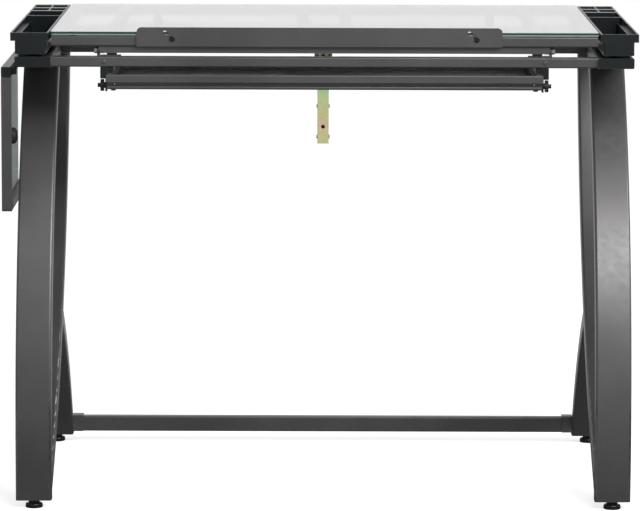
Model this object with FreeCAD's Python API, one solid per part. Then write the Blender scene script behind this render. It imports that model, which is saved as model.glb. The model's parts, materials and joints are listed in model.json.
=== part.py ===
import FreeCAD, Part
import math
import os

os.makedirs("parts", exist_ok=True)

# A drafting table with a tilting glass top. Lengths are millimetres, +Z is up and the user sits at -Y.
# Everything is laid out from the middle of the glass top's front edge, down on the floor, and moved at
# the end so that the origin is at the middle of the model's base.

V = FreeCAD.Vector
ALONG_X, ALONG_Y, ALONG_Z = V(1, 0, 0), V(0, 1, 0), V(0, 0, 1)

# Driving sizes
TABLE_HEIGHT = 800.0
GLASS_WIDTH, GLASS_DEPTH, GLASS_THICK = 914.0, 610.0, 6.0
SIDE_INNER, SIDE_OUTER = 456.5, 516.5      # the side frames' two faces, from the middle
BAR_HIGH, BAR_DEEP, WALL = 17.5, 20.0, 1.5
DECK_LOW = 740.0                           # underside of the fixed frame
LEG_LOW, LEG_DEPTH, LEG_ROUND = 13.5, 30.0, 4.0

# Heights worked out from them
DECK_TOP = DECK_LOW + BAR_HIGH
DECK_MIDDLE = DECK_LOW + BAR_HIGH / 2
GLASS_LOW = TABLE_HEIGHT - GLASS_THICK
PAD_THICK = 1.0
TOP_HIGH = GLASS_LOW - PAD_THICK           # top of the tilting frame's rails
TOP_LOW = TOP_HIGH - BAR_HIGH

# Tilting top
TOP_RAIL_END = 455.0
HINGE_Y, HINGE_Z = 20.0, 768.0
CHANNEL_END, CHANNEL_FRONT, CHANNEL_BACK, CHANNEL_LIP = 374.8, 7.0, 29.5, 764.0
OUTER_BAR, CENTRE_BAR, SUPPORT_HIGH = 355.0, 37.0, 12.0
PLATE_HIGH = TOP_HIGH - SUPPORT_HIGH        # under the centre bars, where the ratchet's plate is

# Fixed bars, by their front faces
FRONT_BAR, MIDDLE_BAR, REAR_BAR = 10.0, 290.0, 582.0
RAIL_FRONT, RAIL_BACK, CAP_THICK = 6.0, 604.0, 4.0
LOWER_Y, LOWER_DEEP, LOWER_LOW, LOWER_HIGH = 564.0, 20.0, 21.5, 49.0
SOCKET_LONG, SOCKET_WALL = 19.0, 2.5

# Legs: each is a tube bent to one circle, given by its centre (y, z) and its convex face's radius
FRONT_LEG = (885.0, 77.0, 929.0)
INNER_LEG = (-555.0, 1050.0, 1159.0)
REAR_LEG = (-175.0, -535.0, 955.0)
FOOT_X, FRONT_FOOT_Y, REAR_FOOT_Y = 486.5, -27.0, 586.0
PAD_RADIUS, PAD_HIGH, NECK_RADIUS, STUD_RADIUS, STUD_TOP = 14.5, 8.0, 9.0, 4.0, 24.0

# Ledge
LEDGE_LEFT, LEDGE_RIGHT, LEDGE_LOW, LEDGE_HIGH = -313.0, 296.0, 776.0, 807.6
LEDGE_FRONT, LEDGE_BACK = -3.0, -1.0
LEDGE_SCREW_X, LEDGE_SCREW_Z = 253.5, 788.5
LEDGE_TRAVEL = V(12.6, 0, -10.9)

# Ratchet support
RATCHET_X, RATCHET_Y = -1.5, 322.0
PIVOT_Z, PIN_Z = 733.0, 771.0
CHANNEL_LOW, CHANNEL_HIGH, STRUT_HALF = 579.0, 741.0, 10.0
STRUT_FACE, STRUT_BACK, STRUT_WALL = 315.0, 329.0, 2.0
STRUT_PLUGS = ((608.7, 3.2), (733.5, 2.6))  # heights and radii
RIVET_Y, RIVET_HEIGHTS = 325.5, (644.0, 590.0)

# Drawer and its cradle
CRADLE_WEB, CRADLE_LOW, CRADLE_HIGH, STRIP_HIGH = 361.0, 702.4, 729.0, 6.4
CRADLE_FRONT, CRADLE_BACK = 12.0, 300.0
DRAWER_HALF, DRAWER_LOW, DRAWER_HIGH, LIP_LOW = 350.0, 709.2, 727.0, 713.5
HANGER_OUT, KNOB_Y, KNOB_Z = 374.5, 20.0, 709.0

# Trays
TRAY_IN, TRAY_OUT, TRAY_LOW, TRAY_HIGH = 464.5, 516.0, 762.0, 798.0
RIM_IN, RIM_OUT, SKIRT_LOW = 459.8, 523.2, 784.3
TRAY_MIDDLE = (TRAY_IN + TRAY_OUT) / 2
LIP, LUG, RIM, STEP = 1.0, 8.4, 3.0, 787.0
TRAY_FRONT, TRAY_SPLIT, TRAY_BACK = -2.0, 362.0, 618.0

# Side shelf, hanging folded at the left
SHELF_OUT, SHELF_IN, SHELF_FRONT, SHELF_BACK = -541.5, -525.0, 28.0, 340.0
SHELF_LOW, SHELF_HIGH, SHELF_BAR = 494.0, 738.0, 15.0
SHELF_PIVOT_X, SHELF_PIVOT_Z = (SHELF_OUT + SHELF_IN) / 2, 729.0
PANE_OUT, PANE_IN = SHELF_OUT + 0.5, SHELF_OUT + 5.5
ARM_THICK, ARM_SLOT, EYE_RADIUS, PIN_RADIUS = 3.0, 4.0, 5.5, 3.0
FRONT_ARM_Y, REAR_ARM_Y = SHELF_FRONT + SHELF_BAR + 3.5, SHELF_BACK - SHELF_BAR - 3.5 - ARM_THICK
FLANGE_REACH, FLANGE_TOP, SHELF_PIN_LONG = 30.0, 754.5, 31.0

# From the layout to the row's frame
MOVE = V(-(SHELF_OUT + RIM_OUT) / 2, -(TRAY_BACK + FRONT_LEG[0] - FRONT_LEG[2]) / 2, 0)


def box(x0, x1, y0, y1, z0, z1):
    return Part.makeBox(x1 - x0, y1 - y0, z1 - z0, V(x0, y0, z0))


def rod(x, y, z, radius, length, way):
    return Part.makeCylinder(radius, length, V(x, y, z), way)


def plate(points, way, thick):
    """A flat plate with the outline that the points give, thickened along way."""
    corners = [V(*p) for p in points]
    return Part.Face(Part.makePolygon(corners + corners[:1])).extrude(way * thick)


def rounded(shape, way, radius):
    """The shape with its straight edges along way rounded."""
    edges = []
    for edge in shape.Edges:
        if isinstance(edge.Curve, Part.Line):
            if abs(edge.tangentAt(edge.FirstParameter).dot(way)) > 0.999:
                edges.append(edge)
    return shape.makeFillet(radius, edges)


def softened(shape, radius, keep):
    """The shape with every edge rounded for which keep(edge's middle point) is true."""
    edges = [e for e in shape.Edges if keep(e.CenterOfMass)]
    return shape.makeFillet(radius, edges)


def hexagon(x, y, z, across, thick, way):
    """A hexagonal bolt head or nut, standing on the point along way."""
    across_up = ALONG_Z if abs(way.dot(ALONG_Z)) < 0.5 else ALONG_X
    arm = across_up * (across / math.sqrt(3))
    turn = [FreeCAD.Rotation(way, 60 * n).multVec(arm) for n in range(6)]
    corners = [V(x, y, z) + t for t in turn]
    return Part.Face(Part.makePolygon(corners + corners[:1])).extrude(way * thick)


def mirrored(shape):
    return shape.mirror(V(0, 0, 0), ALONG_X)


def both_sides(shape):
    return [shape, mirrored(shape)]


def tube_along_x(half, y0, z0, deep, high):
    """A level rectangular tube, open at both ends, centred on the middle plane."""
    outside = rounded(box(-half, half, y0, y0 + deep, z0, z0 + high), ALONG_X, 2.5)
    inside = box(-half - 1, half + 1, y0 + WALL, y0 + deep - WALL, z0 + WALL, z0 + high - WALL)
    return outside.cut(rounded(inside, ALONG_X, 1.0))


def tube_along_y(x0, x1, y0, y1, z0, z1):
    outside = rounded(box(x0, x1, y0, y1, z0, z1), ALONG_Y, 2.5)
    inside = box(x0 + WALL, x1 - WALL, y0 - 1, y1 + 1, z0 + WALL, z1 - WALL)
    return outside.cut(rounded(inside, ALONG_Y, 1.0))


def save(name, *solids):
    whole = solids[0] if len(solids) == 1 else Part.makeCompound(list(solids))
    whole = whole.copy()
    whole.translate(MOVE)
    whole.exportStep("parts/" + name + ".step")


def save_pair(name, right):
    """A part at the right and its mirror image at the left, each in a node of its own."""
    save(name + "_right", right)
    save(name + "_left", mirrored(right))


# ---- legs and feet

def on_circle(circle, radius, z, side):
    """The point of the circle at height z, at its front (side -1) or its back (side 1)."""
    return V(0, circle[0] + side * math.sqrt(radius ** 2 - (z - circle[1]) ** 2), z)


def meeting(one, radius_one, other, radius_other):
    """The lowest point under the table where two circles cross."""
    start, end = V(0, one[0], one[1]), V(0, other[0], other[1])
    gap = (end - start).Length
    way = (end - start) * (1 / gap)
    along = (gap ** 2 + radius_one ** 2 - radius_other ** 2) / (2 * gap)
    off = math.sqrt(radius_one ** 2 - along ** 2)
    square = V(0, way.z, -way.y) * off
    crossings = (start + way * along + square, start + way * along - square)
    return min((p for p in crossings if p.y > TRAY_FRONT - 50), key=lambda p: p.z)


def arc(circle, radius, side, start, end):
    middle = on_circle(circle, radius, (start.z + end.z) / 2, side)
    return Part.Arc(start, middle, end).toShape()


def bent_bar(circle, side, inset, foot=None, head=None, past=0.0):
    """A bar bent to a circle, this far inside the leg's faces. It runs from the floor clearance to the
    frame's underside. A foot (circle, radius) or a head (circle, radius, side) is a bent face that it
    meets instead."""
    ends = []
    for radius in (circle[2] - inset, circle[2] - LEG_DEPTH + inset):
        low = on_circle(circle, radius, LEG_LOW - past, side)
        if foot:
            low = meeting(circle, radius, foot[0], foot[1] + past)
        high = on_circle(circle, radius, DECK_LOW + past, side) if not head else None
        if head:
            high = meeting(circle, radius, head[0], head[1] - past)
        ends.append((radius, low, high))
    (outer, low_out, high_out), (inner, low_in, high_in) = ends
    top = Part.makeLine(high_out, high_in)
    if head:
        top = arc(head[0], head[1] - past, head[2], high_out, high_in)
    edges = [arc(circle, outer, side, low_out, high_out), top,
             arc(circle, inner, side, high_in, low_in), Part.makeLine(low_in, low_out)]
    face = Part.Face(Part.Wire(edges))
    face.translate(V(SIDE_INNER + inset, 0, 0))
    return face.extrude(ALONG_X * (SIDE_OUTER - SIDE_INNER - 2 * inset))


def long_rounds(shape, circle, inset, radius):
    """The bent bar with its four long edges rounded."""
    faces = (circle[2] - inset, circle[2] - LEG_DEPTH + inset)
    edges = []
    for edge in shape.Edges:
        if isinstance(edge.Curve, Part.Circle) and min(abs(edge.Curve.Radius - r) for r in faces) < 0.01:
            edges.append(edge)
    return shape.makeFillet(radius, edges)


def leg(circle, side, foot=None, head=None):
    """A bent tube, open at both ends."""
    outside = long_rounds(bent_bar(circle, side, 0, foot, head), circle, 0, LEG_ROUND)
    inside = bent_bar(circle, side, WALL, foot, head, past=3.0)
    return outside.cut(long_rounds(inside, circle, WALL, LEG_ROUND - WALL))


def front_leg():
    return leg(FRONT_LEG, -1)


def inner_leg():
    """Starts on the front leg's back face."""
    return leg(INNER_LEG, 1, foot=(FRONT_LEG, FRONT_LEG[2] - LEG_DEPTH))


def rear_leg():
    """Its head is on the inner leg's back face."""
    return leg(REAR_LEG, 1, head=(INNER_LEG, INNER_LEG[2], 1))


def foot_insert(circle, side, y):
    """The plastic plug in a leg's open end, with the hole that the foot's stud turns in."""
    slab = box(SIDE_INNER, SIDE_OUTER, y - 60, y + 60, LEG_LOW, LEG_LOW + 16)
    head = (INNER_LEG, INNER_LEG[2], 1) if side > 0 else None
    bar = long_rounds(bent_bar(circle, side, WALL, head=head), circle, WALL, LEG_ROUND - WALL)
    plug = bar.common(slab)
    return plug.cut(rod(FOOT_X, y, 0, STUD_RADIUS + 0.05, STUD_TOP + 2, ALONG_Z))


def levelling_foot(y):
    pad = softened(rod(FOOT_X, y, 0, PAD_RADIUS, PAD_HIGH, ALONG_Z), 3.0, lambda p: p.z > PAD_HIGH - 1)
    pad = softened(pad, 1.5, lambda p: p.z < 1)
    neck = hexagon(FOOT_X, y, PAD_HIGH, 2 * NECK_RADIUS - 2, LEG_LOW - PAD_HIGH - 0.6, ALONG_Z)
    stud = rod(FOOT_X, y, PAD_HIGH, STUD_RADIUS, STUD_TOP - PAD_HIGH, ALONG_Z)
    return pad.fuse([neck, stud]).removeSplitter()


# ---- fixed frame

def side_rail():
    return tube_along_y(SIDE_INNER, SIDE_OUTER, RAIL_FRONT, RAIL_BACK, DECK_LOW, DECK_TOP)


def rail_end_cap(face, inward):
    """A cap on the rail's end at y = face, with its plug reaching inward."""
    outer = min(face, face - inward * CAP_THICK)
    cap = rounded(box(SIDE_INNER, SIDE_OUTER, outer, outer + CAP_THICK, DECK_LOW, DECK_TOP), ALONG_Y, 2.5)
    start = min(face, face + inward * 18)
    plug = box(SIDE_INNER + WALL, SIDE_OUTER - WALL, start, start + 18, DECK_LOW + WALL, DECK_TOP - WALL)
    return cap.fuse(rounded(plug, ALONG_Y, 1.0)).removeSplitter()


def lower_bar_socket():
    """A saddle over the bar's end, open below."""
    start = SIDE_INNER - SOCKET_LONG
    saddle = box(start, SIDE_INNER, LOWER_Y - SOCKET_WALL, LOWER_Y + LOWER_DEEP + SOCKET_WALL,
                 LOWER_LOW, LOWER_HIGH + SOCKET_WALL)
    middle = SIDE_INNER - SOCKET_LONG / 2
    saddle = softened(saddle, 2.0, lambda p: p.z > LOWER_HIGH + 2 and abs(p.x - middle) < 1)
    hole = box(start - 1, SIDE_INNER + 1, LOWER_Y, LOWER_Y + LOWER_DEEP, LOWER_LOW - 1, LOWER_HIGH)
    return saddle.cut(hole)


def round_ear(x, thick, radius, hole, y, z, z_end):
    """A plate square to X, rounded about (y, z), running up or down to z_end."""
    low, high = min(z, z_end), max(z, z_end)
    ear = rod(x, y, z, radius, thick, ALONG_X).fuse(box(x, x + thick, y - radius, y + radius, low, high))
    return ear.cut(rod(x - 1, y, z, hole, thick + 2, ALONG_X)).removeSplitter()


def top_hinge_bracket():
    base = box(340, 379.7, FRONT_BAR + 3, FRONT_BAR + BAR_DEEP - 1, DECK_TOP, DECK_TOP + 2)
    ear = round_ear(377.2, 2.5, 7.0, 3.05, HINGE_Y, HINGE_Z, DECK_TOP)
    block = plate([(345.5, 23, 766.5), (366.5, 23, 766.5), (362, 23, DECK_TOP), (348, 23, DECK_TOP)],
                  ALONG_Y, 4)
    return base.fuse([ear, block]).removeSplitter()


def ratchet_bracket():
    back = box(RATCHET_X - 24, RATCHET_X + 24, MIDDLE_BAR + BAR_DEEP, MIDDLE_BAR + BAR_DEEP + 2.5,
               DECK_LOW, DECK_TOP - 2)
    sides = []
    for x in (RATCHET_X + 11.5, RATCHET_X - 13.5):
        cheek = box(x, x + 2, MIDDLE_BAR + BAR_DEEP, RATCHET_Y, 724, DECK_TOP - 2)
        eye = rod(x, RATCHET_Y, PIVOT_Z, 9, 2, ALONG_X)
        neck = box(x, x + 2, MIDDLE_BAR + BAR_DEEP, RATCHET_Y + 9, PIVOT_Z, PIVOT_Z + 8)
        sides.append(cheek.fuse([eye, neck]))
    whole = back.fuse(sides)
    return whole.cut(rod(RATCHET_X - 30, RATCHET_Y, PIVOT_Z, 3.05, 60, ALONG_X)).removeSplitter()


def rest_bumper():
    high = TOP_LOW - DECK_TOP - 0.4
    post = Part.makeCone(9, 7, high, V(300, REAR_BAR + BAR_DEEP / 2, DECK_TOP), ALONG_Z)
    return softened(post, 1.5, lambda p: p.z > DECK_TOP + high - 1)


def shelf_hinge_bracket(arm_y, flange_y):
    """Carries one end of the shelf's pivot from the side rail's outer face. Its arm lies in a slot of the
    shelf's top bar, and its flange runs from flange_y to the arm."""
    face = -SIDE_OUTER - ARM_THICK
    low, high = SHELF_PIVOT_Z - EYE_RADIUS, SHELF_PIVOT_Z + EYE_RADIUS
    outline = [(-SIDE_OUTER, FLANGE_TOP), (face, FLANGE_TOP), (face, high + 4), (face - 2.5, high),
               (SHELF_PIVOT_X, high), (SHELF_PIVOT_X, low), (-SIDE_OUTER, low)]
    arm = plate([(x, arm_y, z) for x, z in outline], ALONG_Y, ARM_THICK)
    eye = rod(SHELF_PIVOT_X, arm_y, SHELF_PIVOT_Z, EYE_RADIUS, ARM_THICK, ALONG_Y)
    start, end = min(arm_y, flange_y), max(arm_y + ARM_THICK, flange_y)
    flange = box(face + 0.5, -SIDE_OUTER, start, end, FLANGE_TOP - 12, FLANGE_TOP)
    hole = rod(SHELF_PIVOT_X, arm_y - 1, SHELF_PIVOT_Z, PIN_RADIUS + 0.05, ARM_THICK + 2, ALONG_Y)
    return arm.fuse([eye, flange]).cut(hole).removeSplitter()


# ---- drawer cradle

def drawer_runner():
    web = box(CRADLE_WEB, CRADLE_WEB + 2, CRADLE_FRONT, CRADLE_BACK, CRADLE_LOW, CRADLE_HIGH)
    shelf = box(352.5, CRADLE_WEB, CRADLE_FRONT, CRADLE_BACK, 721, 723)
    guard = box(352.5, CRADLE_WEB, CRADLE_FRONT, CRADLE_BACK, CRADLE_HIGH - 1.5, CRADLE_HIGH)
    end = box(DRAWER_HALF + 0.6, CRADLE_WEB, CRADLE_FRONT + 1, CRADLE_FRONT + 3,
              CRADLE_LOW + STRIP_HIGH, 721)
    hole = rod(CRADLE_WEB - 1, KNOB_Y, KNOB_Z, 2.6, 4, ALONG_X)
    return web.fuse([shelf, guard, end]).cut(hole).removeSplitter()


def front_hanger():
    block = rounded(box(CRADLE_WEB + 2, HANGER_OUT, 12, 28, 720.5, DECK_LOW), ALONG_Y, 1.5)
    tongue = box(CRADLE_WEB + 2, CRADLE_WEB + 5, 12, 28, 699, 722)
    gusset = box(352.5, CRADLE_WEB + 3, 14, 16.5, CRADLE_HIGH, DECK_LOW)
    hole = rod(CRADLE_WEB, KNOB_Y, KNOB_Z, 2.6, 10, ALONG_X)
    return block.fuse([tongue, gusset]).cut(hole).removeSplitter()


def rear_hanger():
    return rounded(box(CRADLE_WEB + 2, HANGER_OUT, 286, 300, CRADLE_LOW, DECK_LOW), ALONG_Y, 1.5)


def cradle_strip(y):
    return tube_along_x(CRADLE_WEB, y, CRADLE_LOW, 18, STRIP_HIGH)


def hanger_knob():
    grip = rod(368.2, KNOB_Y, KNOB_Z, 10, 6, ALONG_X)
    for n in range(16):
        turn = math.radians(22.5 * n)
        y, z = KNOB_Y + 10.2 * math.cos(turn), KNOB_Z + 10.2 * math.sin(turn)
        grip = grip.cut(rod(368, y, z, 0.9, 7, ALONG_X))
    hub = rod(366.4, KNOB_Y, KNOB_Z, 5, 3, ALONG_X)
    stub = rod(374, KNOB_Y, KNOB_Z, 3.6, 5, ALONG_X)
    shank = rod(CRADLE_WEB + 0.6, KNOB_Y, KNOB_Z, 2.5, 8, ALONG_X)
    return grip.fuse([hub, stub, shank]).removeSplitter()


# ---- drawer

def drawer_tray():
    shell = box(-DRAWER_HALF, DRAWER_HALF, 11.5, 276, DRAWER_LOW, DRAWER_HIGH)
    shell = shell.cut(box(1.5 - DRAWER_HALF, DRAWER_HALF - 1.5, 13, 274.5, DRAWER_LOW + 1.5, 800))
    flange = box(DRAWER_HALF - 1, 360, 11.5, 276, 723.5, 725)
    return shell.fuse(both_sides(flange)).removeSplitter()


def drawer_front():
    bar = box(-365, 365, 3.5, 11.5, LIP_LOW, 727.8)
    bar = rounded(bar, ALONG_X, 2.0)
    return softened(bar, 1.5, lambda p: abs(p.x) > 364.9 and 3.6 < p.y)


# ---- ratchet support

def ratchet_channel():
    x0, x1 = RATCHET_X - STRUT_HALF, RATCHET_X + STRUT_HALF
    whole = box(x0, x1, STRUT_FACE, STRUT_BACK, CHANNEL_LOW, CHANNEL_HIGH)
    middle = (CHANNEL_LOW + CHANNEL_HIGH) / 2
    whole = softened(whole, 1.5, lambda p: p.y < STRUT_FACE + 0.1 and abs(p.z - middle) < 1)
    whole = whole.cut(box(x0 + STRUT_WALL, x1 - STRUT_WALL, STRUT_FACE + STRUT_WALL, STRUT_BACK + 1,
                          CHANNEL_LOW - 1, CHANNEL_HIGH + 1))
    for z, radius in STRUT_PLUGS:
        whole = whole.cut(rod(RATCHET_X, STRUT_FACE - 1, z, radius, STRUT_WALL + 2, ALONG_Y))
    for z in RIVET_HEIGHTS:
        whole = whole.cut(rod(x0 - 1, RIVET_Y, z, 2, 2 * STRUT_HALF + 2, ALONG_X))
    return whole


def ratchet_rivets():
    """Two cross rivets behind the rack, the two studs that the support swings on, and two plugs."""
    made = []
    for z in RIVET_HEIGHTS:
        shank = rod(RATCHET_X - STRUT_HALF, RIVET_Y, z, 2, 2 * STRUT_HALF, ALONG_X)
        heads = [rod(RATCHET_X + side * STRUT_HALF, RIVET_Y, z, 3.4, 1.4, ALONG_X * side)
                 for side in (1, -1)]
        made.append(shank.fuse(heads).removeSplitter())
    for side in (1, -1):
        start = RATCHET_X + side * STRUT_HALF
        stud = rod(start, RATCHET_Y, PIVOT_Z, 3, 5.4, ALONG_X * side)
        head = rod(start + side * 3.9, RATCHET_Y, PIVOT_Z, 4.6, 1.5, ALONG_X * side)
        made.append(stud.fuse(head).removeSplitter())
    for z, radius in STRUT_PLUGS:
        made.append(rod(RATCHET_X, STRUT_FACE + 0.3, z, radius, STRUT_WALL - 0.3, ALONG_Y))
    return made


def ratchet_pawl():
    """A spring tongue round the upper rivet that leans on the rack."""
    tongue = plate([(RATCHET_X - 5, 321.8, 664), (RATCHET_X - 5, 323.2, 664), (RATCHET_X - 5, 328.6, 646),
                    (RATCHET_X - 5, 328.6, 641), (RATCHET_X - 5, 323.0, 641)], ALONG_X, 10)
    return tongue.cut(rod(RATCHET_X - 12, RIVET_Y, RIVET_HEIGHTS[0], 2, 24, ALONG_X))


def ratchet_rack():
    strip = box(RATCHET_X - 6, RATCHET_X + 6, 317.4, 321.2, 582, PIN_Z)
    for n in range(9):
        z = 594 + 15.5 * n
        for side in (1, -1):
            x = RATCHET_X + side * 6
            notch = [(x, 317, z), (x - side * 3, 317, z), (x, 317, z + 6)]
            strip = strip.cut(plate(notch, ALONG_Y, 5))
    head = rod(RATCHET_X - 7, RATCHET_Y, PIN_Z, 7.2, 14, ALONG_X)
    whole = strip.fuse(head).cut(rod(RATCHET_X - 12, RATCHET_Y, PIN_Z, 5.5, 24, ALONG_X))
    return whole.removeSplitter()


# ---- tilting top

def glass_top():
    half = GLASS_WIDTH / 2
    sheet = rounded(box(-half, half, 0, GLASS_DEPTH, GLASS_LOW, TABLE_HEIGHT), ALONG_Z, 6.0)
    return softened(sheet, 0.7, lambda p: abs(p.z - TABLE_HEIGHT) < 0.01 or abs(p.z - GLASS_LOW) < 0.01)


def glass_pads():
    made = []
    for x in (-420, -140, 140, 420):
        for y in (12, 598):
            made.append(rod(x, y, TOP_HIGH, 6, PAD_THICK, ALONG_Z))
    for x in (-445, -CENTRE_BAR, CENTRE_BAR, 445):
        made.append(rod(x, 305, TOP_HIGH, 6, PAD_THICK, ALONG_Z))
    return made


def top_side_rail():
    return tube_along_y(435, TOP_RAIL_END, 22, 588, TOP_LOW, TOP_HIGH)


def top_cross_rail(y):
    return tube_along_x(TOP_RAIL_END, y, TOP_LOW, BAR_DEEP, BAR_HIGH)


def support_bar(x):
    return tube_along_y(x - 10, x + 10, 22, 588, TOP_HIGH - SUPPORT_HIGH, TOP_HIGH)


def hinge_channel():
    roof = box(-CHANNEL_END, CHANNEL_END, CHANNEL_FRONT, CHANNEL_BACK, TOP_LOW - 1.5, TOP_LOW)
    front = box(-CHANNEL_END, CHANNEL_END, CHANNEL_FRONT, CHANNEL_FRONT + 1.5, CHANNEL_LIP, TOP_LOW)
    back = box(-CHANNEL_END, CHANNEL_END, CHANNEL_BACK - 1.5, CHANNEL_BACK, CHANNEL_LIP, TOP_LOW)
    end = box(CHANNEL_END, CHANNEL_END + 2, CHANNEL_FRONT, CHANNEL_BACK, HINGE_Z, TOP_LOW)
    end = end.fuse(rod(CHANNEL_END, HINGE_Y, HINGE_Z, 7.5, 2, ALONG_X))
    end = end.cut(rod(CHANNEL_END - 1, HINGE_Y, HINGE_Z, 3, 4, ALONG_X))
    return roof.fuse([front, back] + both_sides(end)).removeSplitter()


def hinge_bolt():
    """Bolt and nut of one hinge: the head is outside the fixed ear, the nut inside the channel."""
    head = hexagon(380.1, HINGE_Y, HINGE_Z, 10, 4.4, ALONG_X)
    shank = rod(364.5, HINGE_Y, HINGE_Z, 3, 16, ALONG_X)
    nut = hexagon(367.2, HINGE_Y, HINGE_Z, 10, 7.6, ALONG_X)
    nut = nut.cut(rod(360, HINGE_Y, HINGE_Z, 3, 20, ALONG_X))
    return [head.fuse(shank).removeSplitter(), nut]


def ratchet_top_plate():
    base = box(-CENTRE_BAR - 10, CENTRE_BAR + 10, 296, 348, PLATE_HIGH - 1.5, PLATE_HIGH)
    ears = []
    for x in (RATCHET_X + 10.5, RATCHET_X - 12.5):
        ears.append(round_ear(x, 2, 8, 4, RATCHET_Y, PIN_Z, PLATE_HIGH - 1))
    return base.fuse(ears).removeSplitter()


def ratchet_pin():
    shank = rod(RATCHET_X - 12.5, RATCHET_Y, PIN_Z, 4, 25, ALONG_X)
    ends = [rod(RATCHET_X + side * 12.5, RATCHET_Y, PIN_Z, 5.5, 1.6, ALONG_X * side) for side in (1, -1)]
    return shank.fuse(ends).removeSplitter()


def ledge_screw(x):
    """Shoulder screw in the front rail: the ledge slides between its collar and its head."""
    collar = rod(x, LEDGE_BACK + 0.3, LEDGE_SCREW_Z, 5, 2 - LEDGE_BACK - 0.3, ALONG_Y)
    shank = rod(x, LEDGE_FRONT - 1, LEDGE_SCREW_Z, 2.4, 7.4, ALONG_Y)
    head = rod(x, LEDGE_FRONT - 2.8, LEDGE_SCREW_Z, 4.6, 2.5, ALONG_Y)
    head = softened(head, 1.2, lambda p: p.y < LEDGE_FRONT - 2.7)
    for across, up in ((4.8, 0.9), (0.9, 4.8)):
        head = head.cut(box(x - across / 2, x + across / 2, -10, LEDGE_FRONT - 1.6,
                            LEDGE_SCREW_Z - up / 2, LEDGE_SCREW_Z + up / 2))
    return head.fuse([collar, shank]).removeSplitter()


def drilled_front_rail():
    rail = top_cross_rail(2)
    for x in (LEDGE_SCREW_X, -LEDGE_SCREW_X):
        rail = rail.cut(rod(x, 0, LEDGE_SCREW_Z, 2.4, 10, ALONG_Y))
    return rail


def ledge_slot(x):
    """The slanting slot that starts at a screw and ends a travel's length up and to the left."""
    far = V(x, 0, LEDGE_SCREW_Z) - LEDGE_TRAVEL
    half = 2.8
    across = V(LEDGE_TRAVEL.z, 0, -LEDGE_TRAVEL.x).normalize() * half
    near = V(x, -10, LEDGE_SCREW_Z)
    back = V(far.x, -10, far.z)
    corners = [near + across, near - across, back - across, back + across]
    run = Part.Face(Part.makePolygon(corners + corners[:1])).extrude(V(0, 20, 0))
    ends = [rod(p.x, -10, p.z, half, 20, ALONG_Y) for p in (near, back)]
    return run.fuse(ends)


def ledge():
    sheet = box(LEDGE_LEFT, LEDGE_RIGHT, LEDGE_FRONT, LEDGE_BACK, LEDGE_LOW, LEDGE_HIGH)
    sheet = softened(sheet, 8.0, lambda p: abs(p.y - (LEDGE_FRONT + LEDGE_BACK) / 2) < 0.1 and p.z > 780
                     and (abs(p.x - LEDGE_LEFT) < 0.1 or abs(p.x - LEDGE_RIGHT) < 0.1))
    for x in (LEDGE_SCREW_X, -LEDGE_SCREW_X):
        sheet = sheet.cut(ledge_slot(x))
    return sheet


# ---- side shelf

def shelf_frame():
    """Front and bottom bars in one piece, with the lip that carries the glass. The back is open."""
    outer = box(SHELF_OUT, SHELF_IN, SHELF_FRONT, SHELF_BACK, SHELF_LOW, SHELF_PIVOT_Z - 8)
    outer = rounded(outer, ALONG_X, 3.0)
    lip, past = 3.0, SHELF_BACK + 1
    front, low = SHELF_FRONT + SHELF_BAR, SHELF_LOW + SHELF_BAR
    inside = box(SHELF_OUT - 1, SHELF_IN + 1, front + lip, past, low + lip, SHELF_PIVOT_Z)
    seat = box(SHELF_OUT - 1, PANE_IN, front, past, low, SHELF_PIVOT_Z)
    under = box(PANE_IN + 2, SHELF_IN + 1, front, past, low, SHELF_PIVOT_Z)
    return outer.cut(inside).cut(seat).cut(under)


def shelf_pin(y):
    """Pivot pin from inside a hinge block, through the bracket's arm, into the top bar."""
    start = SHELF_FRONT + 3 if y < SHELF_BACK / 2 else REAR_ARM_Y - 12.5
    return rod(SHELF_PIVOT_X, start, SHELF_PIVOT_Z, PIN_RADIUS, SHELF_PIN_LONG, ALONG_Y)


def shelf_top_bar():
    """The bar between the hinge blocks, slotted for the two brackets' arms."""
    bar = box(SHELF_OUT, SHELF_IN, SHELF_FRONT + SHELF_BAR, SHELF_BACK - SHELF_BAR, 721, SHELF_HIGH)
    bar = rounded(bar, ALONG_Y, 1.5)
    for y in (FRONT_ARM_Y, REAR_ARM_Y):
        start = y - (ARM_SLOT - ARM_THICK) / 2
        bar = bar.cut(box(SHELF_PIVOT_X - EYE_RADIUS - 0.3, -500, start, start + ARM_SLOT, 723, 750))
        bar = bar.cut(shelf_pin(y))
    return bar


def shelf_hinge_block(y):
    block = rounded(box(SHELF_OUT, SHELF_IN, y, y + SHELF_BAR, 721, SHELF_HIGH), ALONG_Y, 2.0)
    return block.cut(shelf_pin(y))


def shelf_glass():
    return box(PANE_OUT, PANE_IN, SHELF_FRONT + SHELF_BAR + 0.2, SHELF_BACK - 0.5,
               SHELF_LOW + SHELF_BAR + 0.2, 720.8)


def shelf_bumper():
    """Domed rubber button on the pane's inner face, level with the left front leg."""
    long = 13.0
    button = rod(PANE_IN, 143, 610, 14, long, ALONG_X)
    return softened(button, 8.0, lambda p: p.x > PANE_IN + long - 0.1)


# ---- trays

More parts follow.
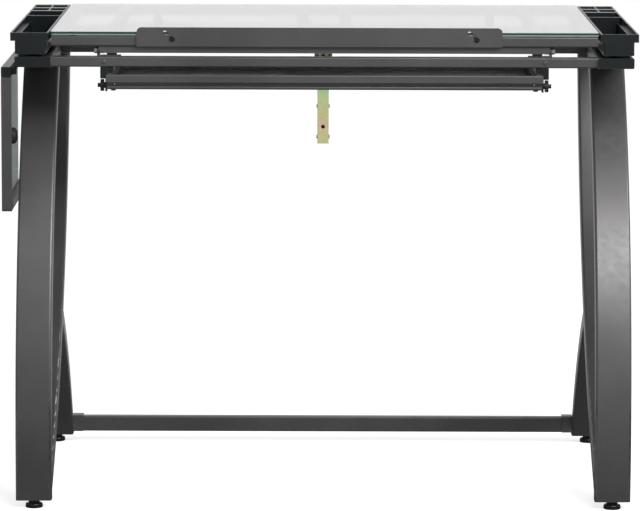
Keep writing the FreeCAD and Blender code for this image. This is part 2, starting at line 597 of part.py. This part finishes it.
def tray_shell(y0, y1):
    """A solid tray: a narrow body under a wider band, with a lug at each corner of the band."""
    body = rounded(box(TRAY_IN, TRAY_OUT, y0 + LIP, y1 - LIP, TRAY_LOW, TRAY_HIGH - 1), ALONG_Z, 4.0)
    band = box(RIM_IN, RIM_OUT, y0, y1, SKIRT_LOW, TRAY_HIGH)
    for y in (y0 - 1, y1 - LIP):
        band = band.cut(box(RIM_IN + LUG, RIM_OUT - LUG, y, y + LIP + 1, SKIRT_LOW - 1, TRAY_HIGH - 3))
    pegs = [rod(x, y, DECK_TOP + 0.3, 4, TRAY_LOW - DECK_TOP, ALONG_Z)
            for x in (TRAY_IN + 8, TRAY_OUT - 8) for y in (y0 + 30, y1 - 30)]
    return body.fuse([band] + pegs).removeSplitter()


def wells(y0, y1, paired=False):
    """Cutters for one compartment, or for a pair side by side: narrow in the body, wider in the band."""
    made = []
    for x0, x1, floor in ((TRAY_IN + 2, TRAY_OUT - 2, TRAY_LOW + 2), (RIM_IN + RIM, RIM_OUT - RIM, STEP)):
        spans = [(x0, TRAY_MIDDLE - 1.5), (TRAY_MIDDLE + 1.5, x1)] if paired else [(x0, x1)]
        for start, end in spans:
            hollow = box(start, end, y0, y1, floor, TRAY_HIGH + 5)
            made.append(rounded(hollow, ALONG_Z, 3.5))
    return made


def front_tray():
    shell = tray_shell(TRAY_FRONT, TRAY_SPLIT - 0.75)
    return shell.cut(wells(TRAY_FRONT + 3, TRAY_SPLIT - 4))


def rear_tray():
    shell = tray_shell(TRAY_SPLIT + 0.75, TRAY_BACK)
    shell = shell.cut(wells(TRAY_SPLIT + 4, 464))
    for y in (482, 552):
        shell = shell.cut(wells(y, y + 48, paired=True))
    return shell


# ---- screws of the fixed frame

def pan_screw(x, y, z, radius, way):
    """A domed screw head standing on the point along way."""
    head = rod(x, y, z, radius, radius * 0.6, way)
    tip = V(x, y, z) + way * (radius * 0.6)
    return softened(head, radius * 0.4, lambda p: (p - tip).Length < 0.1)


def frame_screws():
    made = []
    for side in (1, -1):
        made.append(pan_screw(side * 368, FRONT_BAR, DECK_MIDDLE, 3.5, -ALONG_Y))
        made.append(pan_screw(side * 353, 21, CRADLE_LOW, 4.5, -ALONG_Z))
        made.append(pan_screw(side * 353, 291, CRADLE_LOW, 4.5, -ALONG_Z))
        made.append(pan_screw(RATCHET_X + side * 18, MIDDLE_BAR + BAR_DEEP + 2.5, DECK_MIDDLE, 3.5, ALONG_Y))
    for y in (FRONT_ARM_Y + 11, FRONT_ARM_Y + 23, REAR_ARM_Y - 8, REAR_ARM_Y - 20):
        made.append(pan_screw(-SIDE_OUTER - ARM_THICK + 0.5, y, DECK_MIDDLE, 3.0, -ALONG_X))
    return made


save_pair("front_leg", front_leg())
save_pair("inner_leg", inner_leg())
save_pair("rear_leg", rear_leg())
save_pair("side_rail", side_rail())
save("rail_end_caps", *both_sides(rail_end_cap(RAIL_FRONT, 1)), *both_sides(rail_end_cap(RAIL_BACK, -1)))
save("front_cross_bar", tube_along_x(SIDE_INNER, FRONT_BAR, DECK_LOW, BAR_DEEP, BAR_HIGH))
save("middle_cross_bar", tube_along_x(SIDE_INNER, MIDDLE_BAR, DECK_LOW, BAR_DEEP, BAR_HIGH))
save("rear_cross_bar", tube_along_x(SIDE_INNER, REAR_BAR, DECK_LOW, BAR_DEEP, BAR_HIGH))
save("lower_cross_bar", tube_along_x(SIDE_INNER, LOWER_Y, LOWER_LOW, LOWER_DEEP, LOWER_HIGH - LOWER_LOW))
save("lower_bar_sockets", *both_sides(lower_bar_socket()))
save("foot_inserts", *both_sides(foot_insert(FRONT_LEG, -1, FRONT_FOOT_Y)),
     *both_sides(foot_insert(REAR_LEG, 1, REAR_FOOT_Y)))
save_pair("front_foot", levelling_foot(FRONT_FOOT_Y))
save_pair("rear_foot", levelling_foot(REAR_FOOT_Y))
save("top_hinge_brackets", *both_sides(top_hinge_bracket()))
save("ratchet_bracket", ratchet_bracket())
save("rest_bumpers", *both_sides(rest_bumper()))
save("shelf_hinge_brackets", shelf_hinge_bracket(FRONT_ARM_Y, FRONT_ARM_Y + FLANGE_REACH),
     shelf_hinge_bracket(REAR_ARM_Y, REAR_ARM_Y + ARM_THICK - FLANGE_REACH))
save("frame_screws", *frame_screws())

save_pair("drawer_runner", drawer_runner())
save("drawer_cross_strips", cradle_strip(12), cradle_strip(282))
save("drawer_hangers", *both_sides(front_hanger()), *both_sides(rear_hanger()))
save_pair("hanger_knob", hanger_knob())
save("drawer_tray", drawer_tray())
save("drawer_front", drawer_front())

save("ratchet_channel", ratchet_channel())
save("ratchet_rivets", *ratchet_rivets())
save("ratchet_pawl", ratchet_pawl())
save("ratchet_rack", ratchet_rack())

save("glass_top", glass_top())
save("glass_pads", *glass_pads())
save("top_front_rail", drilled_front_rail())
save("top_rear_rail", top_cross_rail(588))
save_pair("top_side_rail", top_side_rail())
save("outer_support_bars", support_bar(OUTER_BAR), support_bar(-OUTER_BAR))
save("centre_support_bars", support_bar(CENTRE_BAR), support_bar(-CENTRE_BAR))
save("hinge_channel", hinge_channel())
save("hinge_bolts", *hinge_bolt(), *[mirrored(piece) for piece in hinge_bolt()])
save("ratchet_top_plate", ratchet_top_plate())
save("ratchet_pin", ratchet_pin())
save("ledge_screws", ledge_screw(LEDGE_SCREW_X), ledge_screw(-LEDGE_SCREW_X))
save("ledge", ledge())

save("shelf_frame", shelf_frame())
save("shelf_top_bar", shelf_top_bar())
save("shelf_hinge_blocks", shelf_hinge_block(SHELF_FRONT), shelf_hinge_block(SHELF_BACK - SHELF_BAR))
save("shelf_glass", shelf_glass())
save("shelf_bumper", shelf_bumper())
save("shelf_pivot_pins", shelf_pin(FRONT_ARM_Y), shelf_pin(REAR_ARM_Y))

save_pair("front_tray", front_tray())
save_pair("rear_tray", rear_tray())
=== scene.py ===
"""The drafting table's looks: materials, fine pieces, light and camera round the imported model.

Lengths are metres in the row frame: +X to the sitter's right, +Y away from the sitter, +Z up.
"""

import json
import math

import bmesh
import bpy
from mathutils import Matrix, Vector


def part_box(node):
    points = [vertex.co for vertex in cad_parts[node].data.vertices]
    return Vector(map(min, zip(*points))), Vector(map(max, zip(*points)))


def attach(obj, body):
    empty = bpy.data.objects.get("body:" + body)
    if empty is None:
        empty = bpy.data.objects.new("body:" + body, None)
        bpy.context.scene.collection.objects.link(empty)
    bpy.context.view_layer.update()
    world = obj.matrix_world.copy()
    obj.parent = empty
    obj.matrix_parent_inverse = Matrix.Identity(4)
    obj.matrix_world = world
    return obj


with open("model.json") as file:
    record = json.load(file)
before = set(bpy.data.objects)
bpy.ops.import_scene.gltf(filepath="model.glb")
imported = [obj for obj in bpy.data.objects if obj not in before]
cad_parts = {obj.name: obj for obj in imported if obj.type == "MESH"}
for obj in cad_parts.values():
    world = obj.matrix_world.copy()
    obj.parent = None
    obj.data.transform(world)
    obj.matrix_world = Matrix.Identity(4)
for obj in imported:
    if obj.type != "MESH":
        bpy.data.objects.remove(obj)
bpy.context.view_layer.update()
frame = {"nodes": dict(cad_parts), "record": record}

MM = 0.001
WHITE = (1.0, 1.0, 1.0, 1.0)


# ---- materials

NOISE_SPAN = (0.3, 0.7)                    # where nearly all of a noise texture's values lie
NOISE_CORE = (0.35, 0.65)                  # a narrower span, for stronger contrast
NOISE_ROUGHNESS = 0.55
FLAT_COSINE, SHARP_COSINE = 0.995, 0.85    # between a bevelled normal and the plain one
FLOOR_GREY, FLOOR_GLOW = 0.55, 0.66        # the floor's colour and emission, seen by the camera
SHADE_CENTRE_Y = -1.6                        # the painted shade in the table's reflections of the floor
SHADE_EDGE, SHADE_END = 1.6, 3.2               # radii where that patch starts to fade and has gone
SHADE_GREY, OPEN_GREY = 0.05, 0.95


def map_range(tree, value, low, high, out_low, out_high):
    """value taken from low..high to out_low..out_high, and held at the ends."""
    node = tree.nodes.new("ShaderNodeMapRange")
    tree.links.new(value, node.inputs["Value"])
    ends = {"From Min": low, "From Max": high, "To Min": out_low, "To Max": out_high}
    for socket, number in ends.items():
        node.inputs[socket].default_value = number
    return node.outputs["Result"]


class Pattern:
    """A material with one Principled shader, and short calls for the nodes that feed it."""

    def __init__(self, name, **constants):
        self.material = bpy.data.materials.new(name)
        self.material.use_nodes = True
        self.tree = self.material.node_tree
        self.shader = self.tree.nodes["Principled BSDF"]
        for socket, value in constants.items():
            self.shader.inputs[socket.replace("_", " ")].default_value = value
        self.place = self.tree.nodes.new("ShaderNodeTexCoord").outputs["Object"]

    def feed(self, target, value):
        """A link to the target socket, or a constant on it."""
        if hasattr(value, "is_output"):
            self.tree.links.new(value, target)
        else:
            target.default_value = value

    def stretched(self, x, y, z):
        """The object's own coordinates, scaled along each axis."""
        mapping = self.tree.nodes.new("ShaderNodeMapping")
        mapping.inputs["Scale"].default_value = (x, y, z)
        self.tree.links.new(self.place, mapping.inputs["Vector"])
        return mapping.outputs["Vector"]

    def height(self):
        """The height in the object's own coordinates."""
        axes = self.tree.nodes.new("ShaderNodeSeparateXYZ")
        self.tree.links.new(self.place, axes.inputs["Vector"])
        return axes.outputs["Z"]

    def noise(self, scale, detail, place=None):
        node = self.tree.nodes.new("ShaderNodeTexNoise")
        node.inputs["Scale"].default_value = scale
        node.inputs["Detail"].default_value = detail
        node.inputs["Roughness"].default_value = NOISE_ROUGHNESS
        self.tree.links.new(place or self.place, node.inputs["Vector"])
        return node.outputs["Fac"]

    def span(self, value, low, high, out_low=0.0, out_high=1.0):
        return map_range(self.tree, value, low, high, out_low, out_high)

    def math(self, operation, first, second):
        node = self.tree.nodes.new("ShaderNodeMath")
        node.operation = operation
        self.feed(node.inputs[0], first)
        self.feed(node.inputs[1], second)
        return node.outputs["Value"]

    def mix(self, share, first, second):
        """A colour between first and second."""
        node = self.tree.nodes.new("ShaderNodeMix")
        node.data_type = "RGBA"
        self.feed(node.inputs["Factor"], share)
        for socket, colour in ((node.inputs[6], first), (node.inputs[7], second)):
            self.feed(socket, colour if hasattr(colour, "is_output") else (*colour, 1.0))
        return node.outputs[2]

    def edges(self, radius):
        """1 along sharp edges, 0 on flat faces."""
        bevel = self.tree.nodes.new("ShaderNodeBevel")
        bevel.inputs["Radius"].default_value = radius
        bevel.samples = 4
        flat = self.tree.nodes.new("ShaderNodeNewGeometry").outputs["Normal"]
        dot = self.tree.nodes.new("ShaderNodeVectorMath")
        dot.operation = "DOT_PRODUCT"
        self.tree.links.new(bevel.outputs["Normal"], dot.inputs[0])
        self.tree.links.new(flat, dot.inputs[1])
        return self.span(dot.outputs["Value"], FLAT_COSINE, SHARP_COSINE)

    def bump(self, height, depth, strength, below=None):
        """The normal of a surface whose height pattern is depth metres deep."""
        node = self.tree.nodes.new("ShaderNodeBump")
        node.inputs["Strength"].default_value = strength
        node.inputs["Distance"].default_value = depth
        self.tree.links.new(height, node.inputs["Height"])
        if below is not None:
            self.tree.links.new(below, node.inputs["Normal"])
        return node.outputs["Normal"]

    def set(self, **sockets):
        """The finished material, with these links to its shader."""
        for socket, value in sockets.items():
            self.tree.links.new(value, self.shader.inputs[socket.replace("_", " ")])
        return self.material


def pewter_paint():
    """Satin powder coat over steel: fine grain, faint clouding, and paler edges that are partly rubbed wear
    and partly a painted highlight.
    """
    paint = Pattern("pewter_powder_coat", Metallic=0.55, IOR=1.5)
    cloud = paint.noise(5.0, 4.0)
    mottle = paint.noise(90.0, 3.0)
    grain = paint.noise(2600.0, 2.0)
    body = paint.mix(paint.span(cloud, *NOISE_CORE), (0.060, 0.058, 0.058), (0.078, 0.077, 0.078))
    body = paint.mix(paint.span(grain, 0.45, 0.75, 0.0, 0.5), body, (0.120, 0.118, 0.116))
    # paler edges: partly rubbed wear, partly a painted highlight along the lit edges of the tubes
    rubbed_and_highlit = paint.math("MULTIPLY", paint.edges(1.0 * MM), paint.span(cloud, *NOISE_CORE, 0.25, 0.6))
    colour = paint.mix(rubbed_and_highlit, body, (0.150, 0.148, 0.146))
    rough = paint.span(mottle, *NOISE_SPAN, 0.33, 0.39)
    rough = paint.math("ADD", rough, paint.span(cloud, *NOISE_SPAN, 0.0, 0.04))
    normal = paint.bump(grain, 0.03 * MM, 0.4, paint.bump(mottle, 0.10 * MM, 0.25))
    return paint.set(Base_Color=colour, Roughness=rough, Normal=normal)


def black_plastic():
    """Moulded black plastic with a fine spark-eroded texture and a slight shine."""
    plastic = Pattern("moulded_black_plastic", IOR=1.46, Specular_IOR_Level=0.32)
    cloud = plastic.noise(14.0, 3.0)
    skin = plastic.noise(1900.0, 2.0)
    cloudy = plastic.span(cloud, *NOISE_SPAN)
    body = plastic.mix(cloudy, (0.0035, 0.0055, 0.0065), (0.0065, 0.0090, 0.0100))
    worn = plastic.math("MULTIPLY", plastic.edges(0.9 * MM), plastic.span(cloud, *NOISE_SPAN, 0.35, 0.8))
    colour = plastic.mix(worn, body, (0.050, 0.057, 0.060))
    rough = plastic.span(skin, *NOISE_SPAN, 0.20, 0.29)
    rough = plastic.math("ADD", rough, plastic.span(cloud, *NOISE_SPAN, 0.0, 0.06))
    return plastic.set(Base_Color=colour, Roughness=rough, Normal=plastic.bump(skin, 0.05 * MM, 0.4))


def top_glass():
    """The work surface. Only its edges lie between its two faces' heights: they are dark green over a paler
    foot that is a painted reflection,
    between two thin arrises: a painted highlight along the upper one, and a darker lower one."""
    glass = Pattern("green_edged_glass", IOR=1.5)
    low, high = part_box("glass_top")
    height = glass.span(glass.height(), low.z, high.z)
    # the lower part of the edge is paler: a painted reflection
    edge = glass.mix(glass.span(height, 0.30, 0.40), (0.20, 0.27, 0.24), (0.006, 0.030, 0.022))
    # the top tenth of the edge is pale: a painted highlight along the upper arris
    edge = glass.mix(glass.span(height, 0.90, 1.00), edge, (0.40, 0.52, 0.48))
    edge = glass.mix(glass.span(height, 0.0, 0.08), (0.05, 0.09, 0.07), edge)
    smear = glass.noise(7.0, 5.0)
    is_face = glass.math("MAXIMUM", glass.span(height, 0.02, 0.01), glass.span(height, 0.98, 0.99))
    sheet = glass.mix(glass.span(smear, *NOISE_SPAN), (0.83, 0.815, 0.88), (0.86, 0.845, 0.91))
    colour = glass.mix(is_face, edge, sheet)
    clear = glass.span(is_face, 0.0, 1.0, 0.05, 1.0)
    rough = glass.span(smear, *NOISE_SPAN, 0.012, 0.035)
    rough = glass.math("MULTIPLY", rough, glass.span(is_face, 0.0, 1.0, 8.0, 1.0))
    return glass.set(Base_Color=colour, Transmission_Weight=clear, Roughness=rough)


def shelf_glass():
    """The side shelf's satin pane, slightly green."""
    glass = Pattern("shelf_pane_glass", IOR=1.5, Transmission_Weight=0.9)
    smear = glass.noise(9.0, 5.0)
    colour = glass.mix(glass.span(smear, *NOISE_SPAN), (0.42, 0.49, 0.45), (0.49, 0.56, 0.52))
    return glass.set(Base_Color=colour, Roughness=glass.span(smear, *NOISE_SPAN, 0.32, 0.38))


def yellow_zinc():
    """Yellow passivated zinc over faint rolling lines: green above, straw below, with a pink bloom near
    the foot of the strut, and dull along every bent edge."""
    zinc = Pattern("yellow_zinc_plate", Metallic=1.0)
    bloom = zinc.noise(22.0, 4.0)
    lines = zinc.noise(60.0, 2.0, zinc.stretched(12.0, 12.0, 0.6))
    foot, head = (corner.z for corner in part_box("ratchet_channel"))
    wander = zinc.span(bloom, *NOISE_SPAN, -0.05, 0.05)
    up = zinc.math("ADD", zinc.span(zinc.height(), foot, head), wander)
    colour = zinc.mix(zinc.span(up, 0.38, 0.50), (0.92, 0.90, 0.46), (0.66, 0.90, 0.46))
    pink = zinc.math("MULTIPLY", zinc.span(up, 0.08, 0.17), zinc.span(up, 0.30, 0.21))
    colour = zinc.mix(pink, colour, (0.98, 0.74, 0.54))
    colour = zinc.mix(zinc.math("MULTIPLY", zinc.edges(1.6 * MM), 0.8), colour, (0.16, 0.15, 0.09))
    rough = zinc.span(bloom, *NOISE_SPAN, 0.18, 0.26)
    rough = zinc.math("ADD", rough, zinc.span(lines, *NOISE_SPAN, 0.0, 0.06))
    return zinc.set(Base_Color=colour, Roughness=rough, Normal=zinc.bump(lines, 0.05 * MM, 0.5))


def bright_zinc():
    """Bright zinc plate with a mild bloom."""
    zinc = Pattern("bright_zinc_plate", Metallic=1.0)
    bloom = zinc.noise(120.0, 3.0)
    grain = zinc.noise(1500.0, 2.0)
    colour = zinc.mix(zinc.span(bloom, *NOISE_CORE), (0.26, 0.26, 0.27), (0.38, 0.38, 0.38))
    rough = zinc.span(grain, *NOISE_SPAN, 0.28, 0.42)
    return zinc.set(Base_Color=colour, Roughness=rough, Normal=zinc.bump(grain, 0.04 * MM, 0.4))


def black_steel():
    """Screw and rivet heads in black oxide, a little brighter along their edges."""
    steel = Pattern("black_oxide_steel", Metallic=0.6, IOR=1.5)
    bloom = steel.noise(300.0, 3.0)
    grain = steel.noise(1800.0, 2.0)
    body = steel.mix(steel.span(bloom, *NOISE_CORE), (0.008, 0.008, 0.009), (0.020, 0.020, 0.021))
    colour = steel.mix(steel.math("MULTIPLY", steel.edges(0.4 * MM), 0.5), body, (0.06, 0.06, 0.06))
    rough = steel.span(grain, *NOISE_SPAN, 0.28, 0.42)
    return steel.set(Base_Color=colour, Roughness=rough, Normal=steel.bump(grain, 0.04 * MM, 0.4))


def soft_rubber():
    """Dull black rubber with a little dust on it."""
    rubber = Pattern("soft_black_rubber", IOR=1.45)
    dust = rubber.noise(180.0, 4.0)
    skin = rubber.noise(2200.0, 2.0)
    colour = rubber.mix(rubber.span(dust, 0.4, 0.75), (0.012, 0.012, 0.012), (0.035, 0.034, 0.032))
    rough = rubber.span(dust, *NOISE_SPAN, 0.62, 0.80)
    return rubber.set(Base_Color=colour, Roughness=rough, Normal=rubber.bump(skin, 0.08 * MM, 0.6))


def white_floor():
    """A plain pale floor, seen from above only. In the table's own reflections it is darker in front of the
    table, a painted shade that stands for the table's shade on the floor, so that the feet of the legs
    don't glow."""
    floor = Pattern("pale_floor", Roughness=0.9)
    ray = floor.tree.nodes.new("ShaderNodeLightPath").outputs
    bounce = floor.math("MAXIMUM", ray["Is Diffuse Ray"], ray["Is Glossy Ray"])
    distance = floor.tree.nodes.new("ShaderNodeVectorMath")
    distance.operation = "DISTANCE"
    floor.tree.links.new(floor.place, distance.inputs[0])
    distance.inputs[1].default_value = (0.0, SHADE_CENTRE_Y, 0.0)
    # painted shade: the floor is dark in front of the table, but only in reflections and bounced light
    painted_shade = floor.span(distance.outputs["Value"], SHADE_EDGE, SHADE_END, SHADE_GREY, OPEN_GREY)
    floor.shader.inputs["Emission Color"].default_value = WHITE
    colour = floor.mix(bounce, (FLOOR_GREY, FLOOR_GREY, FLOOR_GREY), painted_shade)
    glow = floor.span(bounce, 0.0, 1.0, FLOOR_GLOW, 0.0)
    material = floor.set(Base_Color=colour, Emission_Strength=glow)
    below = floor.tree.nodes.new("ShaderNodeNewGeometry").outputs["Backfacing"]
    clear = floor.tree.nodes.new("ShaderNodeBsdfTransparent")
    choose = floor.tree.nodes.new("ShaderNodeMixShader")
    floor.tree.links.new(below, choose.inputs["Fac"])
    floor.tree.links.new(floor.shader.outputs["BSDF"], choose.inputs[1])
    floor.tree.links.new(clear.outputs["BSDF"], choose.inputs[2])
    floor.tree.links.new(choose.outputs["Shader"], floor.tree.nodes["Material Output"].inputs["Surface"])
    return material


PAINT, PLASTIC = pewter_paint(), black_plastic()
finishes = {
    "pewter_paint": PAINT,
    "black_plastic": PLASTIC,
    "zinc_yellow": yellow_zinc(),
    "zinc_bright": bright_zinc(),
    "black_steel": black_steel(),
    "rubber": soft_rubber(),
    "glass": top_glass(),
}
for part in frame["record"]["subparts"]:
    node = frame["nodes"][part["node"]]
    node.data.materials.clear()
    node.data.materials.append(finishes[part["material_slot"]])
frame["nodes"]["shelf_glass"].data.materials[0] = shelf_glass()
frame["nodes"]["frame_screws"].data.materials[0] = PAINT    # painted over with the frame


# ---- weld beads

RIPPLE = 2.4 * MM                          # the length of one ripple
RIPPLE_SWELL = 0.13                        # how far it swells, as a share of the bead's radius
RINGS_PER_RIPPLE, FEWEST_RINGS = 4, 6
RING_SIDES = 10
BLUNTNESS = 0.3                            # how blunt a bead's ends are, as a share of its radius
LEG_INSET, BAR_INSET = 5 * MM, 2.6 * MM    # how far a seam stops short of a tube's corners
HEAD_SLACK = 0.1 * MM                      # how far below a leg's head its upper corners may lie


def bead(mesh, start, end, radius):
    """One rippled bead from start to end, tapered at its ends. Its lower half is sunk in the steel."""
    start, end = Vector(start), Vector(end)
    length = (end - start).length
    along = (end - start) / length
    side = along.orthogonal().normalized()
    up = along.cross(side)
    steps = max(FEWEST_RINGS, round(RINGS_PER_RIPPLE * length / RIPPLE))
    turns = [2 * math.pi * k / RING_SIDES for k in range(RING_SIDES)]
    rings = []
    for n in range(steps + 1):
        gone = n / steps * length
        taper = min(1.0, (min(gone, length - gone) + BLUNTNESS * radius) / (2 * radius))
        swell = 1 + RIPPLE_SWELL * math.cos(2 * math.pi * gone / RIPPLE)
        reach = radius * math.sqrt(taper) * swell
        centre = start + along * gone
        spokes = [math.cos(turn) * side + math.sin(turn) * up for turn in turns]
        rings.append([mesh.verts.new(centre + reach * spoke) for spoke in spokes])
    for one, other in zip(rings, rings[1:]):
        for k in range(RING_SIDES):
            mesh.faces.new((one[k], one[k - 1], other[k - 1], other[k]))
    mesh.faces.new(rings[0])
    mesh.faces.new(reversed(rings[-1]))


def welds(name, body, seams, radius):
    """All the beads of one name, riding on a body in the frame's paint."""
    mesh = bmesh.new()
    for start, end in seams:
        bead(mesh, start, end, radius)
    bmesh.ops.recalc_face_normals(mesh, faces=mesh.faces)
    data = bpy.data.meshes.new(name)
    mesh.to_mesh(data)
    mesh.free()
    for face in data.polygons:
        face.use_smooth = True
    data.materials.append(PAINT)
    piece = bpy.data.objects.new(name, data)
    bpy.context.scene.collection.objects.link(piece)
    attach(piece, body)


def across(low_x, high_x, y, z):
    """A seam across a leg's width."""
    return (low_x + LEG_INSET, y, z), (high_x - LEG_INSET, y, z)


def leg_seams(side):
    """The seams at a side frame's leg heads, at the inner leg's foot and at the rear leg's head."""
    seams = []
    rail_low, rail_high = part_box("side_rail_" + side)
    for leg in ("front_leg_", "inner_leg_"):
        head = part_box(leg + side)[1].z
        corners = [v.co for v in frame["nodes"][leg + side].data.vertices]
        ys = [corner.y for corner in corners if corner.z > head - HEAD_SLACK]
        for y in (min(ys), max(ys)):
            seams.append(across(rail_low.x, rail_high.x, y, head))
    for leg, end in (("inner_leg_", min), ("rear_leg_", max)):
        corners = [v.co for v in frame["nodes"][leg + side].data.vertices]
        for corner in (end(corners, key=lambda c: c.z), min(corners, key=lambda c: c.y)):
            seams.append(across(rail_low.x, rail_high.x, corner.y, corner.z))
    return seams


def bar_seams(bar):
    """The seams round both ends of a cross bar."""
    seams = []
    low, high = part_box(bar)
    for x in (low.x, high.x):
        for y in (low.y, high.y):
            seams.append(((x, y, low.z + BAR_INSET), (x, y, high.z - BAR_INSET)))
        for z in (low.z, high.z):
            seams.append(((x, low.y + BAR_INSET, z), (x, high.y - BAR_INSET, z)))
    return seams


def top_seams():
    """The seams at the four corners of the tilting frame."""
    seams = []
    for side, inner in (("left", 1), ("right", 0)):
        low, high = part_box("top_side_rail_" + side)
        x = (low.x, high.x)[inner]
        for y in (low.y, high.y):
            seams.append(((x, y, low.z + BAR_INSET), (x, y, high.z - BAR_INSET)))
            seams.append(((low.x + BAR_INSET, y, low.z), (high.x - BAR_INSET, y, low.z)))
    return seams


for hand in ("left", "right"):
    welds("leg_welds_" + hand, "frame", leg_seams(hand), 1.8 * MM)
bars = ("front_cross_bar", "middle_cross_bar", "rear_cross_bar")
welds("bar_welds", "frame", [seam for bar in bars for seam in bar_seams(bar)], 1.3 * MM)
welds("top_frame_welds", "top", top_seams(), 1.2 * MM)


# ---- floor, light and camera

FLOOR_REACH = 60.0
TABLE_MIDDLE = Vector((0.0, 0.0, 0.4))
FRONT_SKY, TOP_SKY = 0.78, 0.45            # how bright the world is in front of the table and overhead


def make_floor():
    """A wide floor under the feet."""
    mesh = bpy.data.meshes.new("floor")
    signs = ((-1, -1), (1, -1), (1, 1), (-1, 1))
    corners = [(x * FLOOR_REACH, y * FLOOR_REACH, 0) for x, y in signs]
    mesh.from_pydata(corners, [], [(0, 1, 2, 3)])
    mesh.materials.append(white_floor())
    floor = bpy.data.objects.new("floor", mesh)
    bpy.context.scene.collection.objects.link(floor)


def aimed(data, name, place, target):
    """An object with this data at place, whose -Z points at target."""
    holder = bpy.data.objects.new(name, data)
    holder.location = place
    holder.rotation_euler = (Vector(target) - Vector(place)).to_track_quat("-Z", "Y").to_euler()
    bpy.context.scene.collection.objects.link(holder)
    return holder


def softbox(name, azimuth, elevation, distance, wide, high, radiance):
    """An area light that faces the table from azimuth degrees right of its front, elevation degrees up."""
    lamp = bpy.data.lights.new(name, "AREA")
    lamp.shape = "RECTANGLE"
    lamp.size, lamp.size_y = wide, high
    lamp.energy = radiance * math.pi * wide * high
    a, e = math.radians(azimuth), math.radians(elevation)
    towards = Vector((math.sin(a) * math.cos(e), -math.cos(a) * math.cos(e), math.sin(e)))
    aimed(lamp, name, TABLE_MIDDLE + distance * towards, TABLE_MIDDLE).visible_camera = False


def make_world():
    """White behind the table at eye level, and dimmer overhead and in front."""
    world = bpy.data.worlds.new("studio")
    world.use_nodes = True
    tree = world.node_tree
    axes = tree.nodes.new("ShaderNodeSeparateXYZ")
    tree.links.new(tree.nodes.new("ShaderNodeTexCoord").outputs["Generated"], axes.inputs["Vector"])
    both = tree.nodes.new("ShaderNodeMath")
    both.operation = "MULTIPLY"
    tree.links.new(map_range(tree, axes.outputs["Z"], 0.12, 0.85, 1.0, TOP_SKY), both.inputs[0])
    tree.links.new(map_range(tree, axes.outputs["Y"], -0.9, 0.2, FRONT_SKY, 1.0), both.inputs[1])
    tree.links.new(both.outputs["Value"], tree.nodes["Background"].inputs["Strength"])
    tree.nodes["Background"].inputs["Color"].default_value = WHITE
    bpy.context.scene.world = world


def make_camera():
    """A long lens in front of the table, a little left of its middle and above its top."""
    lens = bpy.data.cameras.new("camera")
    lens.sensor_width = 36.0
    lens.lens = 226.3
    lens.clip_end = 200.0
    pitch, yaw, roll = math.radians(-7.913), math.radians(-0.089), math.radians(0.189)
    camera = bpy.data.objects.new("camera", lens)
    place = Matrix.Translation((-0.00780, -6.96717, 1.35359))
    turn = Matrix.Rotation(yaw, 4, "Z") @ Matrix.Rotation(math.pi / 2 + pitch, 4, "X")
    camera.matrix_world = place @ turn @ Matrix.Rotation(roll, 4, "Z")
    bpy.context.scene.collection.objects.link(camera)
    bpy.context.scene.camera = camera


make_floor()
make_world()
softbox("key_softbox", azimuth=31, elevation=35, distance=4.5, wide=3.9, high=1.2, radiance=17.0)
make_camera()
bpy.context.scene.view_settings.view_transform = "Standard"
